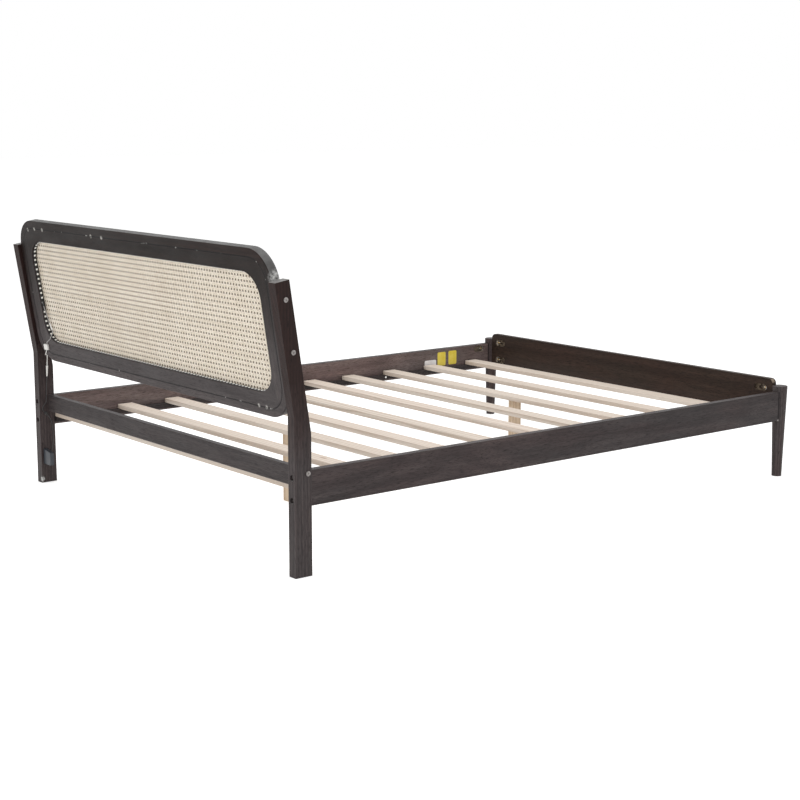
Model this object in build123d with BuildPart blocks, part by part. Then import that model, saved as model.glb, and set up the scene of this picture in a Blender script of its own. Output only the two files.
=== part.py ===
from build123d import *
import os
from math import cos, pi, radians, sin, tan

os.makedirs("parts", exist_ok=True)

# Platform bed with a leaning cane headboard, in millimetres.
# X runs across the bed, Y from the foot (negative) to the head, Z up from the floor.

# Mattress and the room left round it
mattress_width = 1524.0
mattress_length = 2032.0
side_play = 10.0
end_play = 42.5

# Head posts, upright to the bend and then leaning back
post_thickness = 35.0
post_depth = 58.0
post_bend = 467.5
post_rise = 388.0
post_upper_depth = 49.5
lean = radians(9.0)

# Headboard, measured square to its own leaning face
board_height = 496.5
board_thickness = 30.0
board_drop = 21.0
board_set = 12.0
board_corner = 100.0
frame_width = 70.0
seam_margin = 26.0
seam_gap = 0.5
seam_ease = 0.7
lip_thickness = 12.0
opening_corner = 78.0
cane_thickness = 2.0
cane_grip = 30.0
cane_columns = 34
cane_rows = 8
cane_strand = 15.0

# Rails
rail_thickness = 27.0
rail_height = 105.0
rail_bottom = 206.0
rail_set_back = 1.0
head_rail_thickness = 22.0
head_rail_height = 58.0
head_rail_bottom = 257.0
head_rail_set = 2.0

# Footboard
footboard_thickness = 22.0
footboard_height = 148.0
footboard_corner = 19.0

# Foot legs, turned to a taper
leg_height = 331.0
leg_top_radius = 27.0
leg_bottom_radius = 17.5
leg_proud = 10.0
leg_ahead = 15.5
rail_seat = 23.5
board_seat = 22.0

# Slats and what carries them
slat_count = 10
slat_width = 59.0
slat_thickness = 16.0
slat_top = 250.0
slat_end_gap = 7.0
slat_first = 2.0
slat_pitch = 214.0
slat_drift = (0, 38, 22, 6, -4, 10, -12, -16, -14, 0)
ledge_width = 22.0
ledge_height = 18.0
ledge_gap = 2.0
centre_leg_size = 34.0
centre_leg_slats = {"centre_leg_head": 3, "centre_leg_foot": 8}

# Joinery and fasteners
bolt_radius = 3.0
bore_play = 0.25
thread_play = 0.05
head_radius = 7.5
head_height = 2.0
socket_radius = 2.3
recess_radius = 9.0
recess_depth = 9.0
insert_radius = 5.0
insert_length = 13.0
bolt_grip = 22.0
bolt_inset = 11.0
dowel_radius = 4.0
dowel_length = 36.0
dowel_play = 0.1
pocket_length = 56.0
pocket_width = 26.0
pocket_start = 27.0
washer_height = 11.0
washer_thickness = 6.0
washer_play = 0.3
nut_half_flats = 5.0
nut_thickness = 5.0
stud_embed = 20.0
stud_proud = 5.0
board_bolt_heights = (335.0, 184.0)
rail_bolt_drops = (19.0, 85.0)
head_rail_bolt_drop = 13.0
head_rail_dowel_drop = 40.0
panel_bolt_drops = (36.0, 109.0)
screw_radius = 2.0
screw_head_radius = 4.0
screw_bite = 16.0
screw_taper = 45.0
ledge_screws_each = 6
centre_screw_bite = 50.0

# Light strip and its wiring
strip_width = 8.0
strip_thickness = 1.5
strip_inset = 4.0
strip_break = 10.0
strip_break_height = 168.0
lead_radius = 1.5
cable_radius = 1.3
lead_in = 7.0
bend_share = 0.45
lay = 0.2
sleeve_radius = 2.6
sleeve_top_place = (674.0, 112.0, 22.0)
sleeve_end_place = (657.0, 91.0, 19.0)
bead_radius = 3.2
bead_length = 16.0
connector_width = 26.0
connector_height = 20.0
connector_thickness = 6.0
connector_place = (706.0, 27.0)
connector_lead_side = 7.5
plug_length = 38.0
plug_radius = 4.0
plug_tip_radius = 2.2
plug_drop = 47.5
plug_forward = 32.0
plug_slant = 2.0
control_depth = 14.0
control_width = 50.0
control_height = 54.0
control_slope = 9.0
control_set = 8.5
control_bottom = 70.0
control_port = 106.0
clip_length = 12.0
clip_width = 10.0
clip_thickness = 4.0
clip_forward = 22.5
clip_height = 249.5

# Eased edges
ease = 2.0
board_ease = 3.0
slat_ease = 1.5
leg_rim = 3.0
small_ease = 0.6

# Places that follow from the sizes
half_well = mattress_width / 2 + side_play
rail_outer_x = half_well + rail_thickness
post_outer_x = rail_outer_x + rail_set_back
post_inner_x = post_outer_x - post_thickness
leg_x = rail_outer_x + leg_proud - leg_top_radius

board_top = board_height - board_drop
overhang = board_top * sin(lean) - board_set * cos(lean)
well_length = mattress_length + end_play
total_length = overhang + post_depth + well_length + leg_ahead + leg_top_radius
post_rear_y = total_length / 2 - overhang
post_front_y = post_rear_y - post_depth
panel_rear_y = post_front_y - well_length
leg_y = panel_rear_y - leg_ahead
rail_end_y = leg_y + rail_seat
rail_length = post_front_y - rail_end_y
rail_top = rail_bottom + rail_height
head_rail_y = post_front_y + head_rail_set + head_rail_thickness / 2
head_rail_top = head_rail_bottom + head_rail_height
panel_half = leg_x - board_seat
panel_top = rail_bottom + footboard_height
rail_bolt_x = half_well + bolt_inset
panel_bolt_y = panel_rear_y - bolt_inset
slat_bottom = slat_top - slat_thickness
slat_length = 2 * (half_well - slat_end_gap)
pocket_depth = bolt_inset + washer_height / 2
pocket_end_radius = pocket_width / 2
rail_pocket_y = rail_end_y + pocket_start + pocket_length / 2
panel_pocket_x = panel_half - pocket_start - pocket_length / 2
ledge_foot_y = rail_pocket_y + pocket_length / 2 + ledge_gap
ledge_head_y = post_front_y - ledge_gap
ledge_length = ledge_head_y - ledge_foot_y
ledge_screw_height = slat_bottom - ledge_height / 2

rail_bolt_heights = [rail_top - drop for drop in rail_bolt_drops]
rail_dowel_height = sum(rail_bolt_heights) / 2
panel_bolt_heights = [panel_top - drop for drop in panel_bolt_drops]
panel_dowel_height = sum(panel_bolt_heights) / 2
head_rail_bolt_height = head_rail_top - head_rail_bolt_drop
head_rail_dowel_height = head_rail_top - head_rail_dowel_drop

loose_bore = bolt_radius + bore_play
thread_bore = bolt_radius + thread_play
screw_bore = screw_radius + thread_play
dowel_bore = dowel_radius + dowel_play
dowel_bore_reach = dowel_length / 2 + dowel_play
side_bolt_length = post_thickness + bolt_grip
rail_bolt_length = post_depth - recess_depth + bolt_grip
sides = (("left", -1), ("right", 1))

# Leaning plane through the rear bend of the posts: x across, y up the slope, z to the foot
slope = Plane(
    origin=(0, post_rear_y, post_bend), x_dir=(1, 0, 0), z_dir=(0, -cos(lean), sin(lean))
)


def on_slope(x, up, forward):
    """Point x across, up the slope and forward of the posts' rear faces."""
    return slope.from_local_coords(Vector(x, up, forward))


def on_post(x, forward, z):
    """Point x across, forward of the upright rear faces of the posts, at height z."""
    return Vector(x, post_rear_y - forward, z)


board_middle = board_top - board_height / 2
board_rear = Plane(
    origin=on_slope(0, board_middle, board_set), x_dir=slope.x_dir, z_dir=slope.z_dir
)
board_mid_depth = board_set + board_thickness / 2
board_width = 2 * post_inner_x
retainer_thickness = board_thickness - lip_thickness - cane_thickness
opening_width = board_width - 2 * frame_width
opening_height = board_height - 2 * frame_width
seam_width = board_width - 2 * seam_margin
seam_height = board_height - 2 * seam_margin
seam_corner = board_corner - seam_margin
mitre_reach = frame_width + opening_corner


def mitre_sector(side):
    """Corners of one side's share of the headboard, cut at 45 degrees."""
    w = board_width / 2
    h = board_height / 2
    inner_w = w - mitre_reach
    inner_h = h - mitre_reach
    sectors = {
        "top": [(-w, h), (-inner_w, inner_h), (inner_w, inner_h), (w, h)],
        "bottom": [(-w, -h), (-inner_w, -inner_h), (inner_w, -inner_h), (w, -h)],
        "left": [(-w, -h), (-inner_w, -inner_h), (-inner_w, inner_h), (-w, h)],
        "right": [(w, -h), (inner_w, -inner_h), (inner_w, inner_h), (w, h)],
    }
    return sectors[side]


def keep_sector(side):
    """Keep only one side's mitred share of the piece being made."""
    with BuildSketch(board_rear) as sector:
        with BuildLine():
            Polyline(*mitre_sector(side), close=True)
        make_face()
    extrude(sector.sketch, amount=board_thickness, mode=Mode.INTERSECT)


def rounded_slab(plane, width, height, corner, thickness, mode=Mode.ADD):
    """Slab with rounded corners, standing up from a plane."""
    with BuildSketch(plane) as outline:
        RectangleRounded(width, height, corner)
    extrude(outline.sketch, amount=thickness, mode=mode)


def bore(seat, radius, depth):
    """Round hole going down from a seat plane."""
    with BuildSketch(seat) as mouth:
        Circle(radius)
    extrude(mouth.sketch, amount=-depth, mode=Mode.SUBTRACT)


def rod(seat, radius, length):
    """Round rod going down from a seat plane."""
    with BuildSketch(seat) as end:
        Circle(radius)
    extrude(end.sketch, amount=-length)


def bore_both_ways(joint, radius, reach):
    """Round hole that runs the same way into both pieces that meet at a joint."""
    bore(joint.offset(reach), radius, 2 * reach)


def insert_bore(seat, depth):
    """Hole for a threaded insert with room beyond it for the end of the bolt."""
    bore(seat, insert_radius + thread_play, insert_length)
    bore(seat, loose_bore, depth)


def countersink(seat, play, mode):
    """Cone of a countersunk head, its wide end in the seat plane."""
    rise = (screw_head_radius - screw_radius) / tan(radians(screw_taper))
    with BuildSketch(seat) as mouth:
        Circle(screw_head_radius + play)
    extrude(mouth.sketch, amount=-rise, taper=screw_taper, mode=mode)


def across(x, y, z, facing):
    """Plane facing across the bed, to the right when facing is 1."""
    return Plane(origin=(x, y, z), x_dir=(0, 1, 0), z_dir=(facing, 0, 0))


def along(x, y, z, facing):
    """Plane facing along the bed, to the head when facing is 1."""
    return Plane(origin=(x, y, z), x_dir=(1, 0, 0), z_dir=(0, facing, 0))


def board_bolts(sign, x):
    """Seats of the headboard's bolts on one side, facing outwards at a distance x."""
    places = [on_slope(0, up, board_mid_depth) for up in board_bolt_heights]
    return [across(sign * x, place.Y, place.Z, sign) for place in places]


def head_rail_bolt(sign, x):
    return across(sign * x, head_rail_y, head_rail_bolt_height, sign)


def head_rail_dowel(sign):
    return across(sign * post_inner_x, head_rail_y, head_rail_dowel_height, sign)


def rail_bolts(sign, y):
    return [along(sign * rail_bolt_x, y, z, 1) for z in rail_bolt_heights]


def rail_dowels(sign):
    """Dowel places at the head and the foot of one side rail."""
    ends = (post_front_y, rail_end_y)
    return [along(sign * rail_bolt_x, y, rail_dowel_height, 1) for y in ends]


def panel_dowel(sign):
    return across(sign * panel_half, panel_bolt_y, panel_dowel_height, sign)


def rail_pockets(sign):
    """Pocket planes of one side rail: x runs to the foot leg, z faces the mattress."""
    return [
        Plane(
            origin=(sign * half_well, rail_pocket_y, z), x_dir=(0, -1, 0), z_dir=(-sign, 0, 0)
        )
        for z in rail_bolt_heights
    ]


def panel_pockets(sign):
    """Pocket planes of one end of the footboard: x runs to the leg, z faces the head."""
    return [
        Plane(
            origin=(sign * panel_pocket_x, panel_rear_y, z), x_dir=(sign, 0, 0), z_dir=(0, 1, 0)
        )
        for z in panel_bolt_heights
    ]


def stud_line(pocket):
    """Plane across the stud where it enters the pocket, facing the leg."""
    entry = pocket.from_local_coords(Vector(pocket_length / 2, 0, -bolt_inset))
    return Plane(origin=entry, x_dir=pocket.z_dir, z_dir=pocket.x_dir)


def cut_pocket(pocket):
    """Round-ended pocket with the stud's hole leading to it from the end of the wood."""
    with BuildSketch(pocket) as mouth:
        SlotOverall(pocket_length, pocket_width)
    extrude(mouth.sketch, amount=-pocket_depth, mode=Mode.SUBTRACT)
    bore(stud_line(pocket).offset(pocket_start), loose_bore, pocket_start + pocket_end_radius)


# Head posts
front_run = (post_upper_depth * cos(lean) - post_depth) / sin(lean)
bend_front = post_bend + post_upper_depth * sin(lean) + front_run * cos(lean)
top_rear = on_slope(0, post_rise, 0)
top_front = on_slope(0, post_rise, post_upper_depth)
for side, sign in sides:
    with BuildPart() as post:
        with BuildSketch(Plane.YZ.offset(sign * post_inner_x)):
            with BuildLine():
                Polyline(
                    (post_rear_y, 0),
                    (post_rear_y, post_bend),
                    (top_rear.Y, top_rear.Z),
                    (top_front.Y, top_front.Z),
                    (post_front_y, bend_front),
                    (post_front_y, 0),
                    close=True,
                )
            make_face()
        extrude(amount=sign * post_thickness)
        fillet(post.edges().filter_by(Axis.X, reverse=True), ease)
        for seat in board_bolts(sign, post_outer_x):
            bore(seat, loose_bore, post_thickness)
        bore(head_rail_bolt(sign, post_outer_x), loose_bore, post_thickness)
        bore_both_ways(head_rail_dowel(sign), dowel_bore, dowel_bore_reach)
        bore_both_ways(rail_dowels(sign)[0], dowel_bore, dowel_bore_reach)
        for seat in rail_bolts(sign, post_rear_y):
            bore(seat, recess_radius, recess_depth)
            bore(seat, loose_bore, post_depth)
    post.part.label = f"head_post_{side}"
    export_step(post.part, f"parts/head_post_{side}.step")

# Headboard frame: four mitred members, rebated behind for the cane and its retaining frame
member_names = {
    "top": "headboard_top_rail",
    "bottom": "headboard_bottom_rail",
    "left": "headboard_stile_left",
    "right": "headboard_stile_right",
}
for side, member_name in member_names.items():
    with BuildPart() as member:
        rounded_slab(board_rear, board_width, board_height, board_corner, board_thickness)
        fillet(member.edges().filter_by(Axis(slope.origin, slope.z_dir), reverse=True), board_ease)
        rounded_slab(
            board_rear, opening_width, opening_height, opening_corner, board_thickness,
            Mode.SUBTRACT,
        )
        rounded_slab(
            board_rear, seam_width, seam_height, seam_corner,
            board_thickness - lip_thickness, Mode.SUBTRACT,
        )
        keep_sector(side)
        for sign in [sign for name, sign in sides if name == side]:
            for seat in board_bolts(sign, post_inner_x):
                insert_bore(seat, bolt_grip + bore_play)
    member.part.label = member_name
    export_step(member.part, f"parts/{member_name}.step")

# Retaining frame: four mitred slips glued into the rebate over the edge of the cane
for side in member_names:
    with BuildPart() as retainer:
        rounded_slab(
            board_rear, seam_width - 2 * seam_gap, seam_height - 2 * seam_gap,
            seam_corner - seam_gap, retainer_thickness,
        )
        rounded_slab(
            board_rear, opening_width, opening_height, opening_corner, retainer_thickness,
            Mode.SUBTRACT,
        )
        rear_face = retainer.faces().sort_by(Axis(slope.origin, slope.z_dir))[0]
        outer_loop = rear_face.outer_wire()
        inner_loop = rear_face.inner_wires()[0]
        fillet(outer_loop.edges(), seam_ease)
        fillet(inner_loop.edges(), ease)
        keep_sector(side)
    retainer.part.label = f"cane_retainer_{side}"
    export_step(retainer.part, f"parts/cane_retainer_{side}.step")

# Cane panel: one open-work sheet held between the lip of the frame and the retaining frame
hole_pitch_x = opening_width / cane_columns
hole_pitch_y = opening_height / cane_rows
hole_size = min(hole_pitch_x, hole_pitch_y) - cane_strand
with BuildPart() as cane_panel:
    with BuildSketch(board_rear.offset(retainer_thickness)):
        RectangleRounded(
            opening_width + 2 * cane_grip,
            opening_height + 2 * cane_grip,
            opening_corner + cane_grip,
        )
        with GridLocations(hole_pitch_x, hole_pitch_y, cane_columns, cane_rows):
            RegularPolygon(hole_size / 2, 8, major_radius=False, mode=Mode.SUBTRACT)
    extrude(amount=cane_thickness)
cane_panel.part.label = "cane_panel"
export_step(cane_panel.part, "parts/cane_panel.step")

# Head rail between the posts
with BuildPart() as head_rail:
    with BuildSketch(Plane.XY.offset(head_rail_bottom)):
        with Locations((0, head_rail_y)):
            Rectangle(board_width, head_rail_thickness)
    extrude(amount=head_rail_height)
    fillet(head_rail.edges().filter_by(Axis.X), ease)
    for side, sign in sides:
        insert_bore(head_rail_bolt(sign, post_inner_x), bolt_grip + bore_play)
        bore_both_ways(head_rail_dowel(sign), dowel_bore, dowel_bore_reach)
head_rail.part.label = "head_rail"
export_step(head_rail.part, "parts/head_rail.step")


def ledge_screw_seats(sign, x):
    """Seats of one ledge's screws, facing the middle of the bed."""
    step = ledge_length / ledge_screws_each
    stations = [ledge_foot_y + (i + 0.5) * step for i in range(ledge_screws_each)]
    return [across(sign * x, y, ledge_screw_height, -sign) for y in stations]


# Side rails and the slat ledges fixed to their inner faces
for side, sign in sides:
    with BuildPart() as side_rail:
        with BuildSketch(Plane.XY.offset(rail_bottom)):
            with Locations((sign * (half_well + rail_thickness / 2), rail_end_y + rail_length / 2)):
                Rectangle(rail_thickness, rail_length)
        extrude(amount=rail_height)
        fillet(side_rail.edges().filter_by(Axis.Y), ease)
        for seat in rail_bolts(sign, post_front_y):
            insert_bore(seat, bolt_grip + bore_play)
        for pocket in rail_pockets(sign):
            cut_pocket(pocket)
        for joint in rail_dowels(sign):
            bore_both_ways(joint, dowel_bore, dowel_bore_reach)
        for seat in ledge_screw_seats(sign, half_well):
            bore(seat, screw_bore, screw_bite)
    side_rail.part.label = f"side_rail_{side}"
    export_step(side_rail.part, f"parts/side_rail_{side}.step")

    with BuildPart() as ledge:
        with BuildSketch(Plane.XY.offset(slat_bottom - ledge_height)):
            with Locations((sign * (half_well - ledge_width / 2), ledge_foot_y + ledge_length / 2)):
                Rectangle(ledge_width, ledge_length)
        extrude(amount=ledge_height)
        fillet(ledge.edges().filter_by(Axis.Y), slat_ease)
        for seat in ledge_screw_seats(sign, half_well - ledge_width):
            countersink(seat, thread_play, Mode.SUBTRACT)
            bore(seat, screw_bore, ledge_width)
    ledge.part.label = f"slat_ledge_{side}"
    export_step(ledge.part, f"parts/slat_ledge_{side}.step")

# Footboard panel with rounded upper corners
with BuildPart() as footboard:
    with BuildSketch(Plane.XZ.offset(-panel_rear_y)) as outline:
        with Locations((0, rail_bottom + footboard_height / 2)):
            Rectangle(2 * panel_half, footboard_height)
        fillet(outline.vertices().group_by(Axis.Y)[-1], footboard_corner)
    extrude(amount=footboard_thickness)
    fillet(footboard.edges().filter_by(Axis.Y, reverse=True), ease)
    for side, sign in sides:
        for pocket in panel_pockets(sign):
            cut_pocket(pocket)
        bore_both_ways(panel_dowel(sign), dowel_bore, dowel_bore_reach)
footboard.part.label = "footboard"
export_step(footboard.part, "parts/footboard.step")

# Foot legs: tapered turnings with flats for the side rail and the footboard
for side, sign in sides:
    centre = Plane(origin=(sign * leg_x, leg_y, 0), x_dir=(1, 0, 0), z_dir=(0, -1, 0))
    with BuildPart() as foot_leg:
        with BuildSketch(centre):
            with BuildLine():
                Polyline(
                    (0, 0),
                    (leg_bottom_radius, 0),
                    (leg_top_radius, leg_height),
                    (0, leg_height),
                    close=True,
                )
            make_face()
        revolve(axis=Axis(centre.origin, (0, 0, 1)))
        fillet(foot_leg.edges().group_by(Axis.Z)[-1], leg_rim)
        with BuildSketch(Plane.XY.offset(rail_bottom)) as rail_flat:
            with Locations((sign * leg_x, rail_end_y)):
                Rectangle(
                    2 * leg_top_radius, leg_top_radius, align=(Align.CENTER, Align.MIN)
                )
        extrude(amount=rail_height, mode=Mode.SUBTRACT)
        with BuildSketch(Plane.XY.offset(rail_bottom)) as panel_flat:
            with Locations((sign * (panel_half - leg_top_radius / 2), leg_y)):
                Rectangle(leg_top_radius, 2 * leg_top_radius)
        extrude(amount=footboard_height, mode=Mode.SUBTRACT)
        for pocket in rail_pockets(sign) + panel_pockets(sign):
            leg_side = stud_line(pocket).offset(pocket_start + stud_embed)
            bore(leg_side, thread_bore, stud_embed)
        bore_both_ways(rail_dowels(sign)[1], dowel_bore, dowel_bore_reach)
        bore_both_ways(panel_dowel(sign), dowel_bore, dowel_bore_reach)
    foot_leg.part.label = f"foot_leg_{side}"
    export_step(foot_leg.part, f"parts/foot_leg_{side}.step")


def slat_y(number):
    """Middle of a slat, counted from 1 at the head. The slats lie a little unevenly."""
    index = number - 1
    drift = slat_drift[index % len(slat_drift)]
    return post_front_y - slat_first - slat_width / 2 - index * slat_pitch - drift


# Slats, lying loose on the ledges
for number in range(1, slat_count + 1):
    with BuildPart() as slat:
        with BuildSketch(Plane.XY.offset(slat_bottom)):
            with Locations((0, slat_y(number))):
                Rectangle(slat_length, slat_width)
        extrude(amount=slat_thickness)
        fillet(slat.edges().filter_by(Axis.X), slat_ease)
        if number in centre_leg_slats.values():
            seat = Plane(origin=(0, slat_y(number), slat_top))
            countersink(seat, thread_play, Mode.SUBTRACT)
            bore(seat, screw_bore, slat_thickness)
    slat.part.label = f"slat_{number:02d}"
    export_step(slat.part, f"parts/slat_{number:02d}.step")

# Centre legs, screwed up to two of the slats
for leg_name, number in centre_leg_slats.items():
    with BuildPart() as centre_leg:
        with BuildSketch(Plane.XY):
            with Locations((0, slat_y(number))):
                Rectangle(centre_leg_size, centre_leg_size)
        extrude(amount=slat_bottom)
        fillet(centre_leg.edges().filter_by(Axis.Z), ease)
        bore(Plane(origin=(0, slat_y(number), slat_bottom)), screw_bore, centre_screw_bite)
    centre_leg.part.label = leg_name
    export_step(centre_leg.part, f"parts/{leg_name}.step")


def flange_bolt(seat, length):
    """Flange bolt: the head stands on the seat plane and has a hexagon socket."""
    rod(seat, bolt_radius, length)
    with BuildSketch(seat) as flange:
        Circle(head_radius)
        RegularPolygon(socket_radius, 6, mode=Mode.SUBTRACT)
    extrude(flange.sketch, amount=head_height)


def threaded_insert(seat):
    """Sleeve let into the wood with its mouth at the seat plane."""
    with BuildSketch(seat) as ring:
        Circle(insert_radius)
        Circle(thread_bore, mode=Mode.SUBTRACT)
    extrude(ring.sketch, amount=-insert_length)


def wood_screw(seat, length):
    """Countersunk screw, its head flush with the seat plane."""
    rod(seat, screw_radius, length)
    countersink(seat, 0, Mode.ADD)


# Bolts that hold the headboard between the posts
with BuildPart() as headboard_bolts:
    for side, sign in sides:
        for seat in board_bolts(sign, post_outer_x):
            flange_bolt(seat, side_bolt_length)
headboard_bolts.part.label = "headboard_bolts"
export_step(headboard_bolts.part, "parts/headboard_bolts.step")

# Bolts that hold the head rail
with BuildPart() as head_rail_bolts:
    for side, sign in sides:
        flange_bolt(head_rail_bolt(sign, post_outer_x), side_bolt_length)
head_rail_bolts.part.label = "head_rail_bolts"
export_step(head_rail_bolts.part, "parts/head_rail_bolts.step")

# Bolts through the posts into the side rails, sunk in recesses behind
with BuildPart() as side_rail_bolts:
    for side, sign in sides:
        for seat in rail_bolts(sign, post_rear_y - recess_depth):
            flange_bolt(seat, rail_bolt_length)
side_rail_bolts.part.label = "side_rail_bolts"
export_step(side_rail_bolts.part, "parts/side_rail_bolts.step")

# Threaded inserts that these bolts screw into
with BuildPart() as threaded_inserts:
    for side, sign in sides:
        seats = board_bolts(sign, post_inner_x) + rail_bolts(sign, post_front_y)
        for seat in seats + [head_rail_bolt(sign, post_inner_x)]:
            threaded_insert(seat)
threaded_inserts.part.label = "threaded_inserts"
export_step(threaded_inserts.part, "parts/threaded_inserts.step")

# Studs fixed in the foot legs, with a half-moon washer and a nut in each pocket
all_pockets = [
    pocket for side, sign in sides for pocket in rail_pockets(sign) + panel_pockets(sign)
]
washer_flat = washer_play + washer_thickness
stud_length = stud_embed + pocket_start + washer_flat + nut_thickness + stud_proud
with BuildPart() as leg_studs:
    for pocket in all_pockets:
        leg_end = stud_line(pocket).offset(pocket_start + stud_embed)
        rod(leg_end, bolt_radius, stud_length)
leg_studs.part.label = "leg_studs"
export_step(leg_studs.part, "parts/leg_studs.step")

with BuildPart() as half_moon_washers:
    for pocket in all_pockets:
        with BuildSketch(pocket.offset(washer_height / 2 - bolt_inset)) as moon:
            with Locations((pocket_length / 2 - pocket_end_radius, 0)):
                Circle(pocket_end_radius - washer_play)
            with Locations((pocket_length / 2 - washer_flat, 0)):
                Rectangle(
                    pocket_width, pocket_width, align=(Align.MIN, Align.CENTER),
                    mode=Mode.INTERSECT,
                )
        extrude(moon.sketch, amount=-washer_height)
        bore(stud_line(pocket), loose_bore, washer_flat)
half_moon_washers.part.label = "half_moon_washers"
export_step(half_moon_washers.part, "parts/half_moon_washers.step")

with BuildPart() as pocket_nuts:
    for pocket in all_pockets:
        with BuildSketch(stud_line(pocket).offset(-washer_flat)) as nut:
            RegularPolygon(nut_half_flats, 6, major_radius=False, rotation=180 / 6)
            Circle(thread_bore, mode=Mode.SUBTRACT)
        extrude(nut.sketch, amount=-nut_thickness)
pocket_nuts.part.label = "pocket_nuts"
export_step(pocket_nuts.part, "parts/pocket_nuts.step")

# Locating dowels
with BuildPart() as dowels:
    for side, sign in sides:
        for joint in rail_dowels(sign) + [head_rail_dowel(sign), panel_dowel(sign)]:
            rod(joint.offset(dowel_length / 2), dowel_radius, dowel_length)
dowels.part.label = "dowels"
export_step(dowels.part, "parts/dowels.step")

# Screws of the ledges and the centre legs
with BuildPart() as ledge_screws:
    for side, sign in sides:
        for seat in ledge_screw_seats(sign, half_well - ledge_width):
            wood_screw(seat, ledge_width + screw_bite)
ledge_screws.part.label = "ledge_screws"
export_step(ledge_screws.part, "parts/ledge_screws.step")

with BuildPart() as centre_leg_screws:
    for number in centre_leg_slats.values():
        wood_screw(
            Plane(origin=(0, slat_y(number), slat_top)), slat_thickness + centre_screw_bite
        )
centre_leg_screws.part.label = "centre_leg_screws"
export_step(centre_leg_screws.part, "parts/centre_leg_screws.step")

# Light strip, stuck round the inner wall of the retaining frame
with BuildPart() as light_strip:
    with BuildSketch(board_rear.offset(strip_inset)):
        RectangleRounded(opening_width, opening_height, opening_corner)
        RectangleRounded(
            opening_width - 2 * strip_thickness,
            opening_height - 2 * strip_thickness,
            opening_corner - strip_thickness,
            mode=Mode.SUBTRACT,
        )
        with Locations((opening_width / 2, strip_break_height - board_middle)):
            Rectangle(strip_width, strip_break, mode=Mode.SUBTRACT)
    extrude(amount=strip_width)
light_strip.part.label = "light_strip"
export_step(light_strip.part, "parts/light_strip.step")


def bend_radii(points):
    """Radius of each corner, as large as the two runs beside it allow."""
    radii = []
    for before, corner, after in zip(points, points[1:], points[2:]):
        run_in = corner - before
        run_out = after - corner
        half_turn = radians(run_in.get_angle(run_out)) / 2
        radii.append(bend_share * min(run_in.length, run_out.length) / tan(half_turn))
    return radii


def tube(name, points, radius):
    """Round lead along straight runs joined by tangent arcs."""
    radii = bend_radii(points)
    with BuildLine() as route:
        FilletPolyline(*points, radius=radii)
    path = route.wire()
    with BuildSketch(Plane(origin=path @ 0, z_dir=path % 0)) as section:
        Circle(radius)
    solid = sweep(section.sketch, path=path)
    print(name, "length", round(path.length, 1), "radii", [round(r, 1) for r in radii])
    print("  volume", round(solid.volume, 1), "against", round(pi * radius**2 * path.length, 1))


# Leads of the light strip, held between the frame, the post and their clip
strip_depth = board_set + strip_inset + strip_width / 2
lay_depth = board_set - lead_radius - lay
bead_x = opening_width / 2 - strip_thickness - bead_radius - lay
bead_foot = strip_break_height + strip_break / 2
connector_x, connector_up = connector_place
connector_top = connector_up + connector_height / 2
connector_foot = connector_up - connector_height / 2
sleeve_top = on_slope(*sleeve_top_place)
sleeve_end = on_slope(*sleeve_end_place)
post_lead_x = post_inner_x - plug_radius - lay
post_cable_x = post_inner_x - cable_radius - lay
plug_top_z = post_bend - plug_drop
plug_top = on_post(post_lead_x, plug_forward, plug_top_z)
plug_foot = on_post(post_lead_x, plug_forward - plug_slant, plug_top_z - plug_length)
control_y = post_rear_y - control_set - control_depth / 2
control_top = control_bottom + control_height
control_inner_x = post_inner_x - control_width
control_face_y = control_y - control_depth / 2
clip_place = on_post(post_inner_x, clip_forward, clip_height)
clip_run = Vector(0, -1, -1).normalized()
sleeve_run = (sleeve_end - sleeve_top).normalized()
plug_run = (plug_foot - plug_top).normalized()

with BuildPart() as lead_upper:
    tube(
        "lead_upper",
        [
            on_slope(bead_x, bead_foot, strip_depth),
            on_slope(bead_x, bead_foot - lead_in, strip_depth),
            on_slope(679, 140, strip_depth),
            sleeve_top - sleeve_run * lead_in,
            sleeve_top,
        ],
        lead_radius,
    )
lead_upper.part.label = "lead_upper"
export_step(lead_upper.part, "parts/lead_upper.step")

with BuildPart() as lead_sleeve:
    run = Plane(origin=sleeve_top, z_dir=sleeve_top - sleeve_end)
    rod(run, sleeve_radius, (sleeve_top - sleeve_end).length)
    fillet(lead_sleeve.edges(), small_ease)
lead_sleeve.part.label = "lead_sleeve"
export_step(lead_sleeve.part, "parts/lead_sleeve.step")

with BuildPart() as lead_lower:
    tube(
        "lead_lower",
        [
            sleeve_end,
            sleeve_end + sleeve_run * lead_in,
            on_slope(655, 72, lay_depth),
            on_slope(668, 59, lay_depth),
            on_slope(connector_x - connector_lead_side, connector_top + lead_in, lay_depth),
            on_slope(connector_x - connector_lead_side, connector_top, lay_depth),
        ],
        lead_radius,
    )
lead_lower.part.label = "lead_lower"
export_step(lead_lower.part, "parts/lead_lower.step")

with BuildPart() as lead_bead:
    crown = Plane(
        origin=on_slope(bead_x, bead_foot + bead_length, strip_depth),
        x_dir=slope.x_dir, z_dir=slope.y_dir,
    )
    rod(crown, bead_radius, bead_length)
    fillet(lead_bead.edges(), small_ease)
lead_bead.part.label = "lead_bead"
export_step(lead_bead.part, "parts/lead_bead.step")

with BuildPart() as lead_connector:
    seat = Plane(
        origin=on_slope(connector_x, connector_up, board_set - lay),
        x_dir=slope.x_dir, z_dir=slope.z_dir,
    )
    with BuildSketch(seat):
        RectangleRounded(connector_width, connector_height, ease)
    extrude(amount=-connector_thickness)
    fillet(lead_connector.edges().group_by(Axis(slope.origin, slope.z_dir))[0], small_ease)
lead_connector.part.label = "lead_connector"
export_step(lead_connector.part, "parts/lead_connector.step")

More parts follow.
